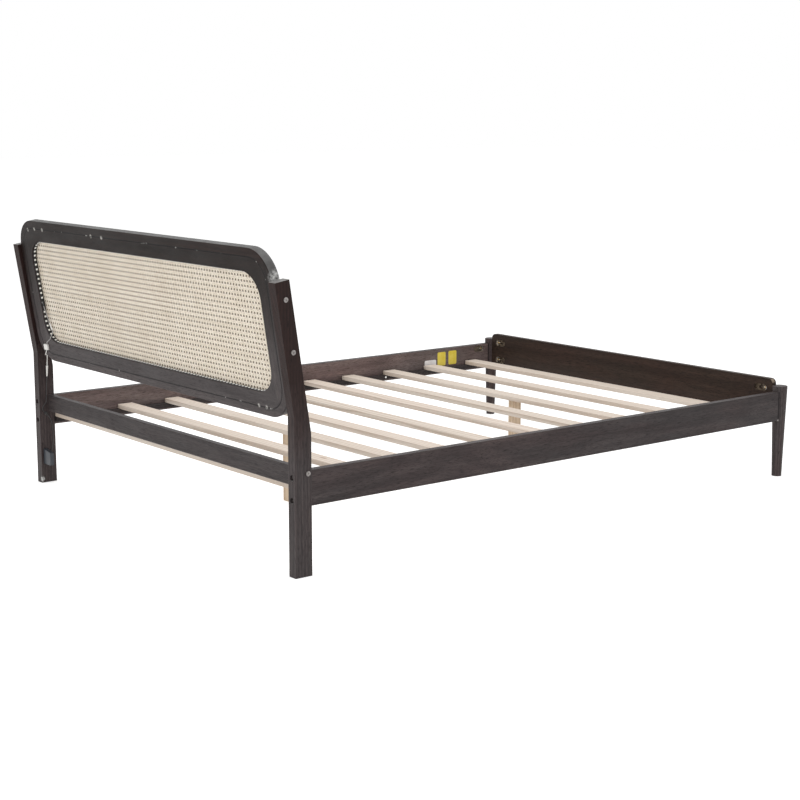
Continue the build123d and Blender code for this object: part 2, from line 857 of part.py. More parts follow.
with BuildPart() as post_lead:
    tube(
        "post_lead",
        [
            on_slope(connector_x + connector_lead_side, connector_foot, lay_depth),
            on_slope(connector_x + connector_lead_side, connector_foot - lead_in, lay_depth),
            on_slope(727, -3, lay_depth),
            on_slope(744, -9, 18),
            on_slope(post_lead_x - 3, -8, 31),
            on_post(post_lead_x, plug_forward + plug_slant, plug_top_z + 3.5 * lead_in),
            plug_top - plug_run * 2 * lead_in,
            plug_top,
        ],
        lead_radius,
    )
post_lead.part.label = "post_lead"
export_step(post_lead.part, "parts/post_lead.step")

with BuildPart() as lead_plug:
    run = Plane(origin=plug_top, z_dir=plug_top - plug_foot)
    with BuildSketch(run):
        Circle(plug_radius)
    with BuildSketch(Plane(origin=plug_foot, z_dir=run.z_dir)):
        Circle(plug_tip_radius)
    loft()
    fillet(lead_plug.edges(), small_ease)
lead_plug.part.label = "lead_plug"
export_step(lead_plug.part, "parts/lead_plug.step")

with BuildPart() as control_cable:
    tube(
        "control_cable",
        [
            plug_foot,
            plug_foot + plug_run * 2 * lead_in,
            on_post(post_cable_x, 28.5, 348),
            on_post(post_cable_x, 26.5, 318),
            on_post(post_cable_x, 25.5, 288),
            on_post(post_cable_x, 12, 277),
            on_post(post_cable_x, 10, 262),
            on_post(post_cable_x, 35, 237),
            on_post(post_cable_x, 45, 212),
            on_post(post_cable_x, 48, 180),
            on_post(post_cable_x, 47, 140),
            on_post(post_cable_x, 41, 114),
            Vector(post_cable_x, control_face_y - lead_in, control_port),
            Vector(post_cable_x, control_face_y, control_port),
        ],
        cable_radius,
    )
control_cable.part.label = "control_cable"
export_step(control_cable.part, "parts/control_cable.step")

# Saddle clip over the slanting run of the cable
with BuildPart() as cable_clip:
    with BuildSketch(Plane(origin=clip_place, x_dir=clip_run, z_dir=(-1, 0, 0))):
        RectangleRounded(clip_length, clip_width, ease)
    extrude(amount=clip_thickness)
    fillet(cable_clip.edges().group_by(Axis.X)[0], small_ease)
    mouth = Plane(
        origin=Vector(post_cable_x, clip_place.Y, clip_place.Z) + clip_run * clip_length,
        x_dir=(1, 0, 0), z_dir=clip_run,
    )
    with BuildSketch(mouth) as channel:
        Circle(cable_radius + lay)
        Rectangle(clip_width, 2 * (cable_radius + lay), align=(Align.MIN, Align.CENTER))
    extrude(channel.sketch, amount=-2 * clip_length, mode=Mode.SUBTRACT)
cable_clip.part.label = "cable_clip"
export_step(cable_clip.part, "parts/cable_clip.step")

# Control box of the light strip, on the inner face of the right-hand post
with BuildPart() as control_box:
    with BuildSketch(Plane.XZ.offset(-control_face_y - control_depth)):
        with BuildLine():
            Polyline(
                (post_inner_x, control_bottom),
                (post_inner_x, control_top),
                (control_inner_x, control_top - control_slope),
                (control_inner_x, control_bottom),
                close=True,
            )
        make_face()
    extrude(amount=control_depth)
    fillet(control_box.edges().filter_by(Axis.X, reverse=True), small_ease)
control_box.part.label = "control_box"
export_step(control_box.part, "parts/control_box.step")
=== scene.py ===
import random
from math import ceil, cos, hypot, pi, radians, sin

import bpy
from mathutils import Matrix, Vector


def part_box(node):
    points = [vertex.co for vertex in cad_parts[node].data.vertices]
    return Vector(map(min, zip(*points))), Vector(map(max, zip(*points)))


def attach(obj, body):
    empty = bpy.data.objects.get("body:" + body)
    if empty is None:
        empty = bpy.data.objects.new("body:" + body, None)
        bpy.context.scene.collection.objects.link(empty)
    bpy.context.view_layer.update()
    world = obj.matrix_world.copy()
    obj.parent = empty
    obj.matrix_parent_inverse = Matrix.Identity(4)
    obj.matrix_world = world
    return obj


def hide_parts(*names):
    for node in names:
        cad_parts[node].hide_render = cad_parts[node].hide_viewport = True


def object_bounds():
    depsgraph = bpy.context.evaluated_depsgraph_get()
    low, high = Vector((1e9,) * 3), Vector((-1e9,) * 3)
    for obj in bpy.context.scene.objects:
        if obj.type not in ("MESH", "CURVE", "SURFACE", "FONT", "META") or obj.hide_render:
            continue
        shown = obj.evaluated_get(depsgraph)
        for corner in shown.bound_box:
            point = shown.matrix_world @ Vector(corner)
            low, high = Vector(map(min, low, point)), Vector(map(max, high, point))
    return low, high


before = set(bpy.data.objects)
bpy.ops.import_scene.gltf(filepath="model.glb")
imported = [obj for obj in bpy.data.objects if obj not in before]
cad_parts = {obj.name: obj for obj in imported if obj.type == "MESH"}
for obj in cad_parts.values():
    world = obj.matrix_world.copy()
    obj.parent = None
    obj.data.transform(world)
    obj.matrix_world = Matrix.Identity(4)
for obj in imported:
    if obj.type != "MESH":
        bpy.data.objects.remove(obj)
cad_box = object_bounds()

# Sizes in metres, in the frame of the model
MM = 0.001
lean = radians(9.0)
bend_height = 467.5 * MM
board_top = 475.5 * MM
board_set = 12.0 * MM
board_height = 496.5 * MM
board_half = 765.0 * MM
board_corner = 100.0 * MM
frame_width = 70.0 * MM
seam_margin = 26.0 * MM
opening_half = 695.0 * MM
opening_corner = 78.0 * MM
retainer_thickness = 16.0 * MM
cane_thickness = 2.0 * MM
half_well = 772.0 * MM

# Places that follow from the sizes and the frame
cad_high = Vector(cad_box[1])
overhang = board_top * sin(lean) - board_set * cos(lean)
rear_y = cad_high.y - overhang
board_middle = board_top - board_height / 2
opening_rise = board_height / 2 - frame_width
seam_half = board_half - seam_margin
seam_rise = board_height / 2 - seam_margin
seam_corner = board_corner - seam_margin
cane_depth = board_set + retainer_thickness + cane_thickness / 2
slope_up = (0.0, sin(lean), cos(lean))
slope_forward = (0.0, -cos(lean), sin(lean))


def on_slope(x, up, forward):
    """Point x across, up the leaning posts and forward of their rear faces."""
    y = rear_y + up * sin(lean) - forward * cos(lean)
    z = bend_height + up * cos(lean) + forward * sin(lean)
    return Vector((x, y, z))


# Camera at the photograph's viewing angle
photo_size = 800
focal_pixels = 1690.5
sensor_width = 36.0
camera_place = Vector((-4.6189, 3.7335, 1.3522))
camera_forward = Vector((0.7686, -0.6150, -0.1761)).normalized()
camera_roll = 0.0009
camera_reach = 100.0


def make_camera():
    data = bpy.data.cameras.new("camera")
    data.sensor_width = sensor_width
    data.lens = focal_pixels / photo_size * sensor_width
    data.clip_end = camera_reach
    camera = bpy.data.objects.new("camera", data)
    turn = camera_forward.to_track_quat("-Z", "Y").to_matrix().to_4x4()
    spin = Matrix.Rotation(camera_roll, 4, "Z")
    camera.matrix_world = Matrix.Translation(camera_place) @ turn @ spin
    bpy.context.scene.collection.objects.link(camera)
    bpy.context.scene.camera = camera


# Node helpers
def new_material(name):
    material = bpy.data.materials.new(name)
    material.use_nodes = True
    material.node_tree.nodes.clear()
    return material


def add(tree, kind, inputs=None, **settings):
    """Add one node, with constants or sockets for its inputs, and return it."""
    node = tree.nodes.new(kind)
    for key, value in settings.items():
        setattr(node, key, value)
    for key, value in (inputs or {}).items():
        if isinstance(value, bpy.types.NodeSocket):
            tree.links.new(value, node.inputs[key])
        else:
            node.inputs[key].default_value = value
    return node


def maths(tree, operation, first, second=0.0):
    return add(tree, "ShaderNodeMath", {0: first, 1: second}, operation=operation).outputs[0]


def weighted(tree, *parts):
    """Sum of (value, weight) pairs."""
    total = None
    for value, weight in parts:
        part = maths(tree, "MULTIPLY", value, weight)
        total = part if total is None else maths(tree, "ADD", total, part)
    return total


def vector_maths(tree, operation, first, second):
    """Vector of a sum, difference or product, or value of a dot product or distance."""
    node = add(tree, "ShaderNodeVectorMath", {0: first, 1: second}, operation=operation)
    return node.outputs["Value" if operation in ("DOT_PRODUCT", "DISTANCE") else "Vector"]


def coordinate(tree, axis, vector):
    return add(tree, "ShaderNodeSeparateXYZ", {0: vector}).outputs[axis]


def object_place(tree):
    """Place on the object, in metres of the model's frame."""
    return add(tree, "ShaderNodeTexCoord").outputs["Object"]


def face_normal(tree):
    return add(tree, "ShaderNodeNewGeometry").outputs["Normal"]


def noise(tree, vector, scale, detail=2.0, roughness=0.5):
    inputs = {"Vector": vector, "Scale": scale, "Detail": detail, "Roughness": roughness}
    return add(tree, "ShaderNodeTexNoise", inputs).outputs["Fac"]


def ramp(tree, factor, stops):
    """Colour ramp from (place, colour) stops."""
    node = add(tree, "ShaderNodeValToRGB", {"Fac": factor})
    elements = node.color_ramp.elements
    while len(elements) < len(stops):
        elements.new(1.0)
    for element, (place, colour) in zip(elements, stops):
        element.position = place
        element.color = (*colour, 1.0)
    return node.outputs["Color"]


def span(tree, factor, low, high, to_low=0.0, to_high=1.0):
    """Stretch of a value from one range to another, held at both ends."""
    inputs = {"Value": factor, "From Min": low, "From Max": high, "To Min": to_low, "To Max": to_high}
    return add(tree, "ShaderNodeMapRange", inputs).outputs["Result"]


def patches(tree, place, scale, low, high, to_low=0.0, to_high=1.0, detail=3.0, roughness=0.6):
    """Patches of noise with soft borders, from one strength to another."""
    return span(tree, noise(tree, place, scale, detail, roughness), low, high, to_low, to_high)


def blend(tree, factor, first, second, mode="MIX"):
    node = add(tree, "ShaderNodeMix", data_type="RGBA", blend_type=mode, clamp_factor=True)
    for index, value in ((0, factor), (6, first), (7, second)):
        socket = node.inputs[index]
        if isinstance(value, bpy.types.NodeSocket):
            tree.links.new(value, socket)
        elif hasattr(value, "__len__"):
            socket.default_value = (*value, 1.0)
        else:
            socket.default_value = value
    return node.outputs[2]


def multiplied(tree, colour, tint):
    return blend(tree, 1.0, colour, tint, "MULTIPLY")


def finish_material(material, colour, roughness, height, lift, strength, **constants):
    """Join colour, roughness and bump to one Principled shader."""
    tree = material.node_tree
    shader = add(tree, "ShaderNodeBsdfPrincipled", {"Base Color": colour, "Roughness": roughness})
    for key, value in constants.items():
        shader.inputs[key.replace("_", " ")].default_value = value
    bump = add(tree, "ShaderNodeBump", {"Height": height, "Distance": lift, "Strength": strength})
    tree.links.new(bump.outputs["Normal"], shader.inputs["Normal"])
    add(tree, "ShaderNodeOutputMaterial", {"Surface": shader.outputs["BSDF"]})
    return material


def edge_mask(tree, radius, low, high):
    """Mask of the eased edges, from the difference between the rounded and the true normal."""
    rounded = add(tree, "ShaderNodeBevel", {"Radius": radius}, samples=4).outputs["Normal"]
    agreement = vector_maths(tree, "DOT_PRODUCT", rounded, face_normal(tree))
    return span(tree, maths(tree, "SUBTRACT", 1.0, agreement), low, high)


# Turns that bring the grain of a piece upright, by the run of its fibres
grain_turns = {
    "across": (0.0, radians(-90), 0.0),
    "along": (radians(90), 0.0, 0.0),
    "upright": (0.0, 0.0, 0.0),
    "leaning": (lean, 0.0, 0.0),
}

# Patterns of the grain: stretch along it, then scale, detail and roughness of the noise
bend_pattern = (0.35, 5.0, 1.0, 0.5)
streak_pattern = (0.045, 75.0, 5.0, 0.62)
fine_pattern = (0.03, 520.0, 3.0, 0.6)
pore_pattern = (0.035, 1150.0, 2.0, 0.5)
bend_sway = 0.05
ring_stretch = 0.09

# Scale and wander of the growth rings
hardwood_rings = (34.0, 3.0)
pine_rings = (24.0, 4.0)

# Colours of the stained wood, the ramps from the darkest fibres to the lightest
brown_stain = ((0.3, (0.024, 0.0205, 0.0205)), (0.52, (0.04, 0.034, 0.034)), (0.74, (0.06, 0.05, 0.049)))
red_stain = ((0.3, (0.03, 0.017, 0.017)), (0.52, (0.05, 0.029, 0.028)), (0.74, (0.075, 0.045, 0.042)))
pore_stain = (0.014, 0.011, 0.011)
# Lighter colour of the rubbed edges: real wear, and a painted highlight in place of their gloss
worn_edge_and_highlight = (0.12, 0.11, 0.108)
edge_radius = 3.0 * MM
edge_wear_and_highlight = 0.5
stain_gloss = 0.12

# Colours of the bare pine
pine_tones = ((0.25, (0.5, 0.405, 0.325)), (0.5, (0.65, 0.56, 0.475)), (0.75, (0.72, 0.645, 0.565)))
pine_flush = (0.76, 0.63, 0.54)
pine_knot = (0.3, 0.16, 0.08)

# Colours of the cane
cane_tones = ((0.15, (0.64, 0.55, 0.435)), (0.5, (0.76, 0.68, 0.565)), (0.85, (0.83, 0.76, 0.66)))
cane_speck = (0.42, 0.32, 0.2)

# Depths of the finest relief
wood_relief = 0.25 * MM
cane_relief = 0.1 * MM
cloth_relief = 0.1 * MM
metal_relief = 0.05 * MM
plastic_relief = 0.06 * MM


def grain_frame(tree, grain, shift):
    inputs = {"Vector": object_place(tree), "Rotation": grain_turns[grain], "Location": shift}
    return add(tree, "ShaderNodeMapping", inputs).outputs["Vector"]


def stretched(tree, vector, stretch):
    return vector_maths(tree, "MULTIPLY", vector, (1.0, 1.0, stretch))


def grain_noise(tree, vector, stretch, scale, detail, roughness):
    return noise(tree, stretched(tree, vector, stretch), scale, detail, roughness)


def fibres(tree, vector, ring_scale, ring_wander):
    """Growth rings, streaks, fine fibres and pores along the upright grain."""
    bent = maths(tree, "MULTIPLY", grain_noise(tree, vector, *bend_pattern), bend_sway)
    sway = add(tree, "ShaderNodeCombineXYZ", {"X": bent}).outputs[0]
    swayed = vector_maths(tree, "ADD", vector, sway)
    ring_inputs = {"Vector": stretched(tree, swayed, ring_stretch), "Scale": ring_scale,
                   "Distortion": ring_wander, "Detail": 2.0, "Detail Scale": 0.4}
    rings = add(tree, "ShaderNodeTexWave", ring_inputs, wave_type="RINGS", rings_direction="Z")
    streaks = grain_noise(tree, swayed, *streak_pattern)
    fine = grain_noise(tree, swayed, *fine_pattern)
    pores = grain_noise(tree, swayed, *pore_pattern)
    return rings.outputs["Fac"], streaks, fine, pores


def tinted(colour, shade):
    return tuple(part * shade for part in colour)


def shaded(stops, shade):
    return [(place, tinted(colour, shade)) for place, colour in stops]


def espresso_wood(name, grain, shift, red, shade, extras=()):
    """Open-grained hardwood under a dark brown stain, with redder patches (painted sheen makes them
    stronger on faces turned across the bed) and rubbed edges (real wear, with a painted highlight).

    Each extra takes the node tree and the colour so far, and returns the colour with its own mark.
    """
    material = new_material(name)
    tree = material.node_tree
    vector = grain_frame(tree, grain, shift)
    rings, streaks, fine, pores = fibres(tree, vector, *hardwood_rings)
    figure = weighted(tree, (rings, 0.16), (streaks, 0.56), (fine, 0.36))
    stain = ramp(tree, figure, shaded(brown_stain, shade))
    redder = ramp(tree, figure, shaded(red_stain, shade))
    clouds = patches(tree, stretched(tree, vector, 0.22), 9.0, 0.42, 0.66)
    # Painted sheen: the red patches are stronger on faces turned across the bed, and weaker on faces
    # turned along it or up.
    sideways = maths(tree, "ABSOLUTE", coordinate(tree, "X", face_normal(tree)))
    red_patches_and_face_sheen = maths(tree, "MULTIPLY", clouds, red)
    red_patches_and_face_sheen = maths(tree, "MULTIPLY", red_patches_and_face_sheen, span(tree, sideways, 0.0, 1.0, 0.55, 1.0))
    colour = blend(tree, red_patches_and_face_sheen, stain, redder)
    open_pores = span(tree, pores, 0.36, 0.46)
    colour = blend(tree, open_pores, tinted(pore_stain, shade), colour)
    rub = patches(tree, vector, 26.0, 0.42, 0.72, detail=4.0, roughness=0.7)
    # Rubbed edges: real wear, lightened further as a painted highlight for the gloss on the eased edges.
    worn_and_highlit = maths(tree, "MULTIPLY", edge_mask(tree, edge_radius, 0.02, 0.16), rub)
    colour = blend(tree, maths(tree, "MULTIPLY", worn_and_highlit, edge_wear_and_highlight), colour, worn_edge_and_highlight)
    for extra in extras:
        colour = extra(tree, colour)
    roughness = patches(tree, stretched(tree, vector, 0.4), 18.0, 0.3, 0.7, 0.38, 0.54)
    height = weighted(tree, (open_pores, 0.7), (streaks, 0.4))
    return finish_material(material, colour, roughness, height, wood_relief, 0.55,
                           Specular_IOR_Level=stain_gloss)


def pine(name, grain, shift, tint):
    """Bare planed pine, with soft rings, a few knots and a slightly different tone for each slat."""
    material = new_material(name)
    tree = material.node_tree
    vector = grain_frame(tree, grain, shift)
    rings, streaks, fine = fibres(tree, vector, *pine_rings)[:3]
    figure = weighted(tree, (rings, 0.4), (streaks, 0.45), (fine, 0.2))
    colour = ramp(tree, figure, pine_tones)
    along = vector_maths(tree, "MULTIPLY", object_place(tree), (0.0, 1.0, 0.0))
    tone = patches(tree, along, 4.3, 0.3, 0.7, 0.0, 0.35, detail=0.0, roughness=0.5)
    colour = blend(tree, tone, colour, pine_flush)
    colour = multiplied(tree, colour, tint)
    cell = add(tree, "ShaderNodeTexVoronoi", {"Vector": stretched(tree, vector, 0.3), "Scale": 7.0})
    knot = span(tree, cell.outputs["Distance"], 0.02, 0.055, 1.0, 0.0)
    colour = blend(tree, maths(tree, "MULTIPLY", knot, 0.75), colour, pine_knot)
    roughness = patches(tree, vector, 40.0, 0.3, 0.7, 0.55, 0.7, roughness=0.5)
    height = weighted(tree, (streaks, 1.0), (fine, 0.6))
    return finish_material(material, colour, roughness, height, wood_relief, 0.4)


def cane_material():
    """Split cane: glossy cream skin with fine fibres, its tone changing from strand to strand."""
    material = new_material("cane")
    tree = material.node_tree
    place = object_place(tree)
    tone = add(tree, "ShaderNodeAttribute", attribute_name="tone").outputs["Fac"]
    mottle = noise(tree, place, 60.0, 3.0, 0.6)
    colour = ramp(tree, weighted(tree, (tone, 0.6), (mottle, 0.4)), cane_tones)
    speck = noise(tree, place, 900.0, 2.0)
    colour = blend(tree, span(tree, speck, 0.66, 0.8, 0.0, 0.35), colour, cane_speck)
    roughness = span(tree, mottle, 0.3, 0.7, 0.42, 0.6)
    return finish_material(material, colour, roughness, speck, cane_relief, 0.3)


def cloth_material(name, dark, light, threads):
    """Thin woven cloth, from two crossed waves."""
    material = new_material(name)
    tree = material.node_tree
    inputs = {"Vector": object_place(tree), "Scale": threads}
    warp = add(tree, "ShaderNodeTexWave", inputs, bands_direction="X")
    weft = add(tree, "ShaderNodeTexWave", inputs, bands_direction="Z")
    weave = maths(tree, "MULTIPLY", warp.outputs["Fac"], weft.outputs["Fac"])
    colour = ramp(tree, weave, ((0.0, dark), (1.0, light)))
    return finish_material(material, colour, 0.85, weave, cloth_relief, 0.4)


def metal(name, colour, tarnish, low, high):
    """Plated metal with faint brushing and patches of tarnish."""
    material = new_material(name)
    tree = material.node_tree
    place = object_place(tree)
    cloud = noise(tree, place, 220.0, 3.0, 0.6)
    brush = noise(tree, stretched(tree, place, 0.1), 2400.0, 2.0)
    shade = blend(tree, span(tree, cloud, 0.4, 0.7, 0.0, 0.6), colour, tarnish)
    roughness = span(tree, cloud, 0.3, 0.7, low, high)
    return finish_material(material, shade, roughness, brush, metal_relief, 0.4, Metallic=1.0)


def plastic(name, colour, other, low, high):
    """Moulded plastic with a fine sparked texture and slight changes of shade."""
    material = new_material(name)
    tree = material.node_tree
    place = object_place(tree)
    cloud = noise(tree, place, 45.0, 3.0, 0.6)
    spark = noise(tree, place, 1500.0, 2.0)
    shade = blend(tree, span(tree, cloud, 0.35, 0.65), colour, other)
    roughness = span(tree, cloud, 0.3, 0.7, low, high)
    return finish_material(material, shade, roughness, spark, plastic_relief, 0.35)


# Weave of the cane: pairs across and up, single strands on both diagonals
cane_pitch_x = 14.8 * MM
cane_pitch_up = 15.2 * MM
strand_width = 3.5 * MM
strand_thickness = 0.7 * MM
pair_spread = 2.3 * MM
pair_lift = 0.33 * MM
diagonal_lift = 0.6 * MM
cane_margin = 20.0 * MM
scrim_thickness = 0.1 * MM
outline_steps = 12
cane_seed = 7
strand_section = ((-0.5, 0.0), (-0.32, 0.5), (0.32, 0.5), (0.5, 0.0), (0.32, -0.5), (-0.32, -0.5))


def in_cane(x, up):
    """Whether a place on the panel, from its middle, lies under the retaining frame or inside it."""
    half_x = opening_half + cane_margin
    half_up = opening_rise + cane_margin
    corner = opening_corner + cane_margin
    beyond_x = abs(x) - (half_x - corner)
    beyond_up = abs(up) - (half_up - corner)
    if beyond_x > 0 and beyond_up > 0:
        return hypot(beyond_x, beyond_up) <= corner
    return abs(x) <= half_x and abs(up) <= half_up


def on_panel(path):
    """Points of a strand's path that lie on the panel."""
    return [point for point in path if in_cane(point[0], point[1])]


def add_strand(vertices, faces, tones, path, tone):
    """One ribbon along a straight path of (x, up, lift) points, closed at both ends."""
    if len(path) < 2:
        return
    run = Vector((path[-1][0] - path[0][0], path[-1][1] - path[0][1])).normalized()
    side = Vector((-run.y, run.x))
    first = len(vertices)
    sides = len(strand_section)
    for x, up, lift in path:
        for across, height in strand_section:
            offset = across * strand_width
            rise = lift + height * strand_thickness
            spot_x = x + side.x * offset
            spot_up = board_middle + up + side.y * offset
            vertices.append(on_slope(spot_x, spot_up, cane_depth - rise))
    for ring in range(len(path) - 1):
        start = first + ring * sides
        for k in range(sides):
            after = (k + 1) % sides
            faces.append((start + k, start + sides + k, start + sides + after, start + after))
            tones.append(tone)
    last = first + (len(path) - 1) * sides
    faces.append(tuple(first + k for k in range(sides)))
    faces.append(tuple(last + sides - 1 - k for k in range(sides)))
    tones.extend((tone, tone))


def straight_strand(index, upright, columns, rows):
    """Path of one strand of a pair: over one crossing strand and under the next."""
    pitch, cross_pitch = (cane_pitch_x, cane_pitch_up) if upright else (cane_pitch_up, cane_pitch_x)
    count = rows if upright else columns
    centre = (index // 2) * pitch + (index % 2 - 0.5) * 2 * pair_spread
    path = []
    for crossing in range(-count, count + 1):
        middle = crossing * cross_pitch
        for step in (0, 1):
            over = (index + step + (0 if upright else 1)) % 2 == 0
            lift = pair_lift if over else -pair_lift
            path.append((middle + (step - 0.5) * 2 * pair_spread, lift))
        path.append((middle + cross_pitch / 2, 0.0))
    if upright:
        return [(centre, along, lift) for along, lift in path]
    return [(along, centre, lift) for along, lift in path]


def diagonal_strand(start, rising, rows):
    """Path of one diagonal: over the pairs that run one way and under those that run the other."""
    path = []
    for step in range(-2 * rows, 2 * rows + 1):
        x = (start + 0.5 * step) * cane_pitch_x
        up = 0.5 * (step if rising else -step) * cane_pitch_up + 0.5 * cane_pitch_up
        on_row = step % 2 != 0
        lift = diagonal_lift if on_row == rising else -diagonal_lift
        path.append((x, up, lift))
    return path


def make_cane(material, scrim_material):
    chance = random.Random(cane_seed)
    columns = ceil((opening_half + cane_margin) / cane_pitch_x)
    rows = ceil((opening_rise + cane_margin) / cane_pitch_up)
    vertices, faces, tones = [], [], []
    for index in range(-2 * columns, 2 * columns + 2):
        path = on_panel(straight_strand(index, True, columns, rows))
        add_strand(vertices, faces, tones, path, chance.random())
    for index in range(-2 * rows, 2 * rows + 2):
        path = on_panel(straight_strand(index, False, columns, rows))
        add_strand(vertices, faces, tones, path, chance.random())
    for start in range(-columns - rows, columns + rows + 1):
        for rising in (True, False):
            path = on_panel(diagonal_strand(start, rising, rows))
            add_strand(vertices, faces, tones, path, chance.random())
    weave = new_piece("cane_weave", vertices, faces, material)
    attribute = weave.data.attributes.new("tone", "FLOAT", "FACE")
    attribute.data.foreach_set("value", tones)
    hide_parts("cane_panel")
    outline = rounded_outline(opening_half + cane_margin, opening_rise + cane_margin,
                              opening_corner + cane_margin, outline_steps)
    near = cane_depth - scrim_thickness / 2
    far = cane_depth + scrim_thickness / 2
    new_plate("cane_scrim", outline, 0.0, board_middle, near, far, scrim_material)


# Mesh helpers
def new_piece(name, vertices, faces, material):
    mesh = bpy.data.meshes.new(name)
    mesh.from_pydata([tuple(vertex) for vertex in vertices], [], faces)
    mesh.materials.append(material)
    mesh.shade_flat()
    mesh.validate()
    piece = bpy.data.objects.new(name, mesh)
    bpy.context.scene.collection.objects.link(piece)
    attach(piece, "root")
    return piece


def rounded_outline(half_x, half_up, radius, steps):
    """Corners of a rounded rectangle about the origin, anticlockwise."""
    points = []
    for quarter, (sx, sy) in enumerate(((1, 1), (-1, 1), (-1, -1), (1, -1))):
        for step in range(steps + 1):
            angle = (quarter + step / steps) * pi / 2
            points.append((sx * (half_x - radius) + radius * cos(angle),
                           sy * (half_up - radius) + radius * sin(angle)))
    return points


def new_plate(name, outline, x, up, near, far, material):
    """Flat plate on the leaning plane, between two depths."""
    vertices = [on_slope(x + px, up + py, near) for px, py in outline]
    vertices += [on_slope(x + px, up + py, far) for px, py in outline]
    count = len(outline)
    faces = [tuple(range(count)), tuple(reversed(range(count, 2 * count)))]
    for k in range(count):
        after = (k + 1) % count
        faces.append((k, count + k, count + after, after))
    new_piece(name, vertices, faces, material)


# Marks in the wood: pocket walls, colour that changes with height (painted shade on the headboard), the
# glued seam, painted sheen on some faces, a painted shadow at the rails' ends, and bright places, rubbed
# or glued, with one painted highlight
raw_wood = (0.25, 0.2, 0.15)
seam_dark = (0.008, 0.007, 0.007)
glue_fleck = (0.6, 0.58, 0.55)
# Colour of the painted shadow at the rails' ends
end_shadow_colour = (0.006, 0.005, 0.005)
pocket_length = 96.0 * MM
pocket_floor = 17.0 * MM
pocket_cover = 1.8 * MM
skin = 0.6 * MM
seam_spread = 2.2 * MM
seam_reach = 2.5 * MM
end_shadow_fade = 1.5 * MM


def within(tree, value, low, high):
    """One where a coordinate lies between two limits."""
    above = maths(tree, "GREATER_THAN", value, low)
    below = maths(tree, "LESS_THAN", value, high)
    return maths(tree, "MULTIPLY", above, below)


def boxed(tree, low, high):
    """One inside a box that is the same on both sides of the bed."""
    parts = add(tree, "ShaderNodeSeparateXYZ", {0: object_place(tree)}).outputs
    sides = (maths(tree, "ABSOLUTE", parts["X"]), parts["Y"], parts["Z"])
    inside = 1.0
    for side, bottom, top in zip(sides, low, high):
        inside = maths(tree, "MULTIPLY", inside, within(tree, side, bottom, top))
    return inside


def bare_pockets(low, high):
    """Pocket walls where the stain took badly."""
    def extra(tree, colour):
        missed = patches(tree, object_place(tree), 55.0, 0.42, 0.58, 0.05, 1.0)
        return blend(tree, maths(tree, "MULTIPLY", boxed(tree, low, high), missed), colour, raw_wood)
    return extra


def tint_by_height(low, high, tint):
    """Colour that goes from its own at one height to a tint of it at another; on the headboard it is
    painted shade, darker towards the top.
    """
    def extra(tree, colour):
        place = object_place(tree)
        wander = patches(tree, place, 6.0, 0.3, 0.7, -0.04, 0.04, roughness=0.5)
        height = maths(tree, "ADD", coordinate(tree, "Z", place), wander)
        return blend(tree, span(tree, height, low, high), colour, multiplied(tree, colour, tint))
    return extra


def painted_sheen_faces(direction, low, high, sheen_colour):
    """Painted sheen: paler faces, chosen by the angle between their normal and a direction."""
    def extra(tree, colour):
        along = vector_maths(tree, "DOT_PRODUCT", face_normal(tree), direction)
        turned = span(tree, maths(tree, "ABSOLUTE", along), low, high)
        broken = patches(tree, object_place(tree), 30.0, 0.3, 0.7, 0.5, 0.9)
        return blend(tree, maths(tree, "MULTIPLY", turned, broken), colour, sheen_colour)
    return extra


def inner_face_tint(half_x, tint):
    """Lighter tint of the faces that look into the bed."""
    def extra(tree, colour):
        across = maths(tree, "ABSOLUTE", coordinate(tree, "X", object_place(tree)))
        inside = maths(tree, "LESS_THAN", across, half_x)
        return blend(tree, inside, colour, multiplied(tree, colour, tint))
    return extra


def painted_end_shadow(limit):
    """Painted shadow: dark last millimetres of a rail, where it meets the leg."""
    def extra(tree, colour):
        along = coordinate(tree, "Y", object_place(tree))
        return blend(tree, span(tree, along, limit, limit + end_shadow_fade, 1.0, 0.0), colour, end_shadow_colour)
    return extra


def seam_distance(tree, moved):
    """Distance from the outer line of the retaining frame, on the leaning plane."""
    across = maths(tree, "ABSOLUTE", coordinate(tree, "X", moved))
    up = maths(tree, "ABSOLUTE", vector_maths(tree, "DOT_PRODUCT", moved, slope_up))
    beyond_x = maths(tree, "SUBTRACT", across, seam_half - seam_corner)
    beyond_up = maths(tree, "SUBTRACT", up, seam_rise - seam_corner)
    square_x = maths(tree, "POWER", maths(tree, "MAXIMUM", beyond_x, 0.0), 2.0)
    square_up = maths(tree, "POWER", maths(tree, "MAXIMUM", beyond_up, 0.0), 2.0)
    outside = maths(tree, "SQRT", maths(tree, "ADD", square_x, square_up))
    inside = maths(tree, "MINIMUM", maths(tree, "MAXIMUM", beyond_x, beyond_up), 0.0)
    away = maths(tree, "SUBTRACT", maths(tree, "ADD", outside, inside), seam_corner)
    return maths(tree, "ABSOLUTE", away)


